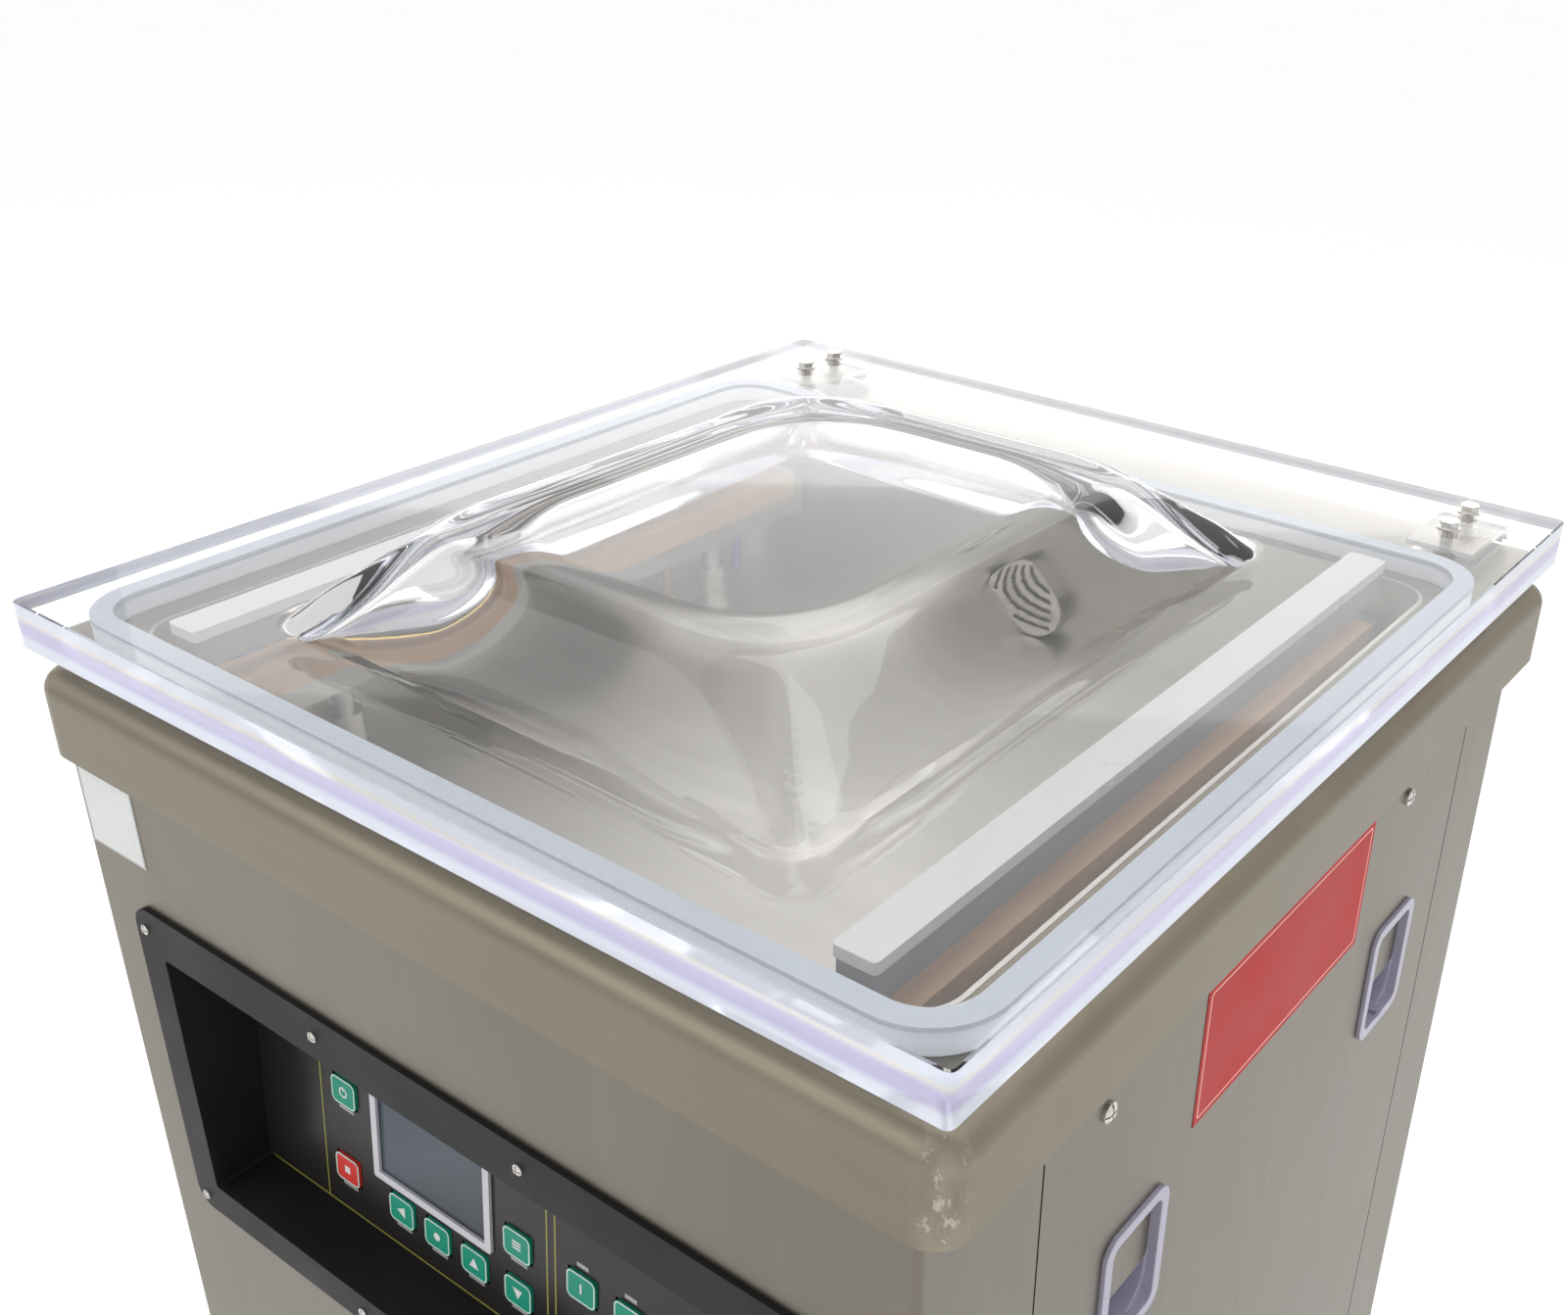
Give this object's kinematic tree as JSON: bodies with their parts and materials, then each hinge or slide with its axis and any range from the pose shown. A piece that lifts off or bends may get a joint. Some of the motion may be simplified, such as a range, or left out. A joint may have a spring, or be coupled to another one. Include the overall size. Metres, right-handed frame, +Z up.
{
  "type": "chamber vacuum packing machine",
  "caption": "Floor-standing chamber vacuum sealer: stainless cabinet on casters, clear domed hinged lid, seal bars, recessed key panel.",
  "frame": {"origin": "on the floor, under the middle of the machine's bounding box", "axes": "+Z up, -Y towards the operator at the control panel, +X to the operator's right"},
  "size_m": [0.488, 0.52, 0.97],
  "materials": {
    "stainless_panel": "fine vertical brushing, satin",
    "stainless_deck": "brushed along the skirt, satin",
    "stainless_chamber": "satin pressed pan",
    "acrylic": "clear cast acrylic, polished, faint violet edges",
    "silicone_seal": "translucent white silicone, satin",
    "white_plastic": "white extruded plastic",
    "silicone_grey": "grey silicone, satin",
    "steel_hardware": "turned stainless",
    "aluminium_bar": "mill finish extrusion",
    "ptfe_tape": "woven glass cloth coated in tan fluoropolymer",
    "brass": "plain brass",
    "blue_tube": "translucent blue polyurethane",
    "black_bezel": "fine moulded grain",
    "black_plate": "satin printed film",
    "lcd_rim": "silver print",
    "lcd_screen": "grey-blue display, glossy",
    "key_green": "embossed film key, pale rim",
    "key_red": "embossed film key, pale rim",
    "circuit_board": "solder mask",
    "gauge_metal": "polished ring",
    "needle_red": "enamel",
    "label_red": "printed film",
    "sticker_pale": "blank film",
    "handle_lavender": "satin lavender-grey",
    "zinc": "zinc plate",
    "caster_tyre": "hard rubber",
    "pump_paint": "enamelled casting",
    "motor_paint": "enamel",
    "transformer_core": "varnished laminations",
    "valve_body": "cast body with coil",
    "hose_dark": "reinforced rubber",
    "gland_black": "nylon"
  },
  "bodies": {
    "cabinet": {"base_tray": "stainless_panel", "front_shell": "stainless_panel", "side_panel_left": "stainless_panel", "side_panel_right": "stainless_panel", "rear_frame": "stainless_panel", "rear_panel": "stainless_panel", "deck_pan": "stainless_deck", "chamber_tub": "stainless_chamber", "flush_handles": "handle_lavender", "panel_screws": "steel_hardware", "side_label": "label_red", "front_sticker": "sticker_pale", "bezel": "black_bezel", "bezel_screws": "steel_hardware", "control_plate": "black_plate", "lcd_frame": "lcd_rim", "lcd_glass": "lcd_screen", "control_board": "circuit_board", "gauge_case": "gauge_metal", "hinge_brackets": "steel_hardware", "lift_cylinders": "steel_hardware", "gas_nozzles": "brass", "blue_hoses": "blue_tube", "caster_plates": "zinc", "vacuum_pump": "pump_paint", "pump_motor": "motor_paint", "transformer": "transformer_core", "solenoid_valves": "valve_body", "vacuum_hose": "hose_dark", "vacuum_port": "steel_hardware", "gas_inlet": "brass", "power_inlet": "gland_black"},
    "lid": {"lid": "acrylic", "gasket": "silicone_seal", "strip_backings": "white_plastic", "pressure_strips": "silicone_grey", "lid_leaves": "steel_hardware", "lid_bolts": "steel_hardware"},
    "seal_bar_left": {"seal_bar_left": "aluminium_bar", "seal_tape_left": "ptfe_tape"},
    "seal_bar_right": {"seal_bar_right": "aluminium_bar", "seal_tape_right": "ptfe_tape"},
    "gauge_needle": {"gauge_needle": "needle_red"},
    "key_power": {"key_power": "key_green"},
    "key_stop": {"key_stop": "key_red"},
    "key_left": {"key_left": "key_green"},
    "key_centre": {"key_centre": "key_green"},
    "key_right": {"key_right": "key_green"},
    "key_set": {"key_set": "key_green"},
    "key_down": {"key_down": "key_green"},
    "key_p1": {"key_p1": "key_green"},
    "key_p2": {"key_p2": "key_green"},
    "fork_front_left": {"fork_front_left": "zinc"},
    "wheel_front_left": {"wheel_front_left": "caster_tyre"},
    "fork_front_right": {"fork_front_right": "zinc"},
    "wheel_front_right": {"wheel_front_right": "caster_tyre"},
    "fork_rear_left": {"fork_rear_left": "zinc"},
    "wheel_rear_left": {"wheel_rear_left": "caster_tyre"},
    "fork_rear_right": {"fork_rear_right": "zinc"},
    "wheel_rear_right": {"wheel_rear_right": "caster_tyre"}
  },
  "joints": [
    {"name": "lid_hinge", "type": "hinge", "parent": "cabinet", "child": "lid", "pos_m": [0, 0.252, 0.905], "axis": [-1, 0, 0], "range_deg": [0, 60]},
    {"name": "seal_right_lift", "type": "slide", "parent": "cabinet", "child": "seal_bar_right", "axis": [0, 0, 1], "range_m": [0, 0.009]},
    {"name": "seal_left_lift", "type": "slide", "parent": "cabinet", "child": "seal_bar_left", "axis": [0, 0, 1], "range_m": [0, 0.009]},
    {"name": "gauge_sweep", "type": "hinge", "parent": "cabinet", "child": "gauge_needle", "pos_m": [0.132, -0.22377, 0.69477], "axis": [0, -0.9962, 0.0872], "range_deg": [0, 270], "stiffness_Nm_per_rad": 0.004},
    {"name": "key_power_press", "type": "slide", "parent": "cabinet", "child": "key_power", "axis": [0, 0.9962, -0.0872], "range_m": [0, 0.0008], "stiffness_N_per_m": 600, "springref_m": -0.0005},
    {"name": "key_stop_press", "type": "slide", "parent": "cabinet", "child": "key_stop", "axis": [0, 0.9962, -0.0872], "range_m": [0, 0.0008], "stiffness_N_per_m": 600, "springref_m": -0.0005},
    {"name": "key_left_press", "type": "slide", "parent": "cabinet", "child": "key_left", "axis": [0, 0.9962, -0.0872], "range_m": [0, 0.0008], "stiffness_N_per_m": 600, "springref_m": -0.0005},
    {"name": "key_centre_press", "type": "slide", "parent": "cabinet", "child": "key_centre", "axis": [0, 0.9962, -0.0872], "range_m": [0, 0.0008], "stiffness_N_per_m": 600, "springref_m": -0.0005},
    {"name": "key_right_press", "type": "slide", "parent": "cabinet", "child": "key_right", "axis": [0, 0.9962, -0.0872], "range_m": [0, 0.0008], "stiffness_N_per_m": 600, "springref_m": -0.0005},
    {"name": "key_set_press", "type": "slide", "parent": "cabinet", "child": "key_set", "axis": [0, 0.9962, -0.0872], "range_m": [0, 0.0008], "stiffness_N_per_m": 600, "springref_m": -0.0005},
    {"name": "key_down_press", "type": "slide", "parent": "cabinet", "child": "key_down", "axis": [0, 0.9962, -0.0872], "range_m": [0, 0.0008], "stiffness_N_per_m": 600, "springref_m": -0.0005},
    {"name": "key_p1_press", "type": "slide", "parent": "cabinet", "child": "key_p1", "axis": [0, 0.9962, -0.0872], "range_m": [0, 0.0008], "stiffness_N_per_m": 600, "springref_m": -0.0005},
    {"name": "key_p2_press", "type": "slide", "parent": "cabinet", "child": "key_p2", "axis": [0, 0.9962, -0.0872], "range_m": [0, 0.0008], "stiffness_N_per_m": 600, "springref_m": -0.0005},
    {"name": "swivel_front_left", "type": "hinge", "parent": "cabinet", "child": "fork_front_left", "pos_m": [-0.19, -0.19, 0.09], "axis": [0, 0, 1], "continuous": true},
    {"name": "spin_front_left", "type": "hinge", "parent": "fork_front_left", "child": "wheel_front_left", "pos_m": [-0.19, -0.162, 0.0375], "axis": [1, 0, 0], "continuous": true},
    {"name": "swivel_front_right", "type": "hinge", "parent": "cabinet", "child": "fork_front_right", "pos_m": [0.19, -0.19, 0.09], "axis": [0, 0, 1], "continuous": true},
    {"name": "spin_front_right", "type": "hinge", "parent": "fork_front_right", "child": "wheel_front_right", "pos_m": [0.19, -0.162, 0.0375], "axis": [1, 0, 0], "continuous": true},
    {"name": "swivel_rear_left", "type": "hinge", "parent": "cabinet", "child": "fork_rear_left", "pos_m": [-0.19, 0.19, 0.09], "axis": [0, 0, 1], "continuous": true},
    {"name": "spin_rear_left", "type": "hinge", "parent": "fork_rear_left", "child": "wheel_rear_left", "pos_m": [-0.19, 0.218, 0.0375], "axis": [1, 0, 0], "continuous": true},
    {"name": "swivel_rear_right", "type": "hinge", "parent": "cabinet", "child": "fork_rear_right", "pos_m": [0.19, 0.19, 0.09], "axis": [0, 0, 1], "continuous": true},
    {"name": "spin_rear_right", "type": "hinge", "parent": "fork_rear_right", "child": "wheel_rear_right", "pos_m": [0.19, 0.218, 0.0375], "axis": [1, 0, 0], "continuous": true}
  ],
  "couplings": [
    {"joint": "seal_left_lift", "follows": "seal_right_lift", "ratio": 1}
  ]
}
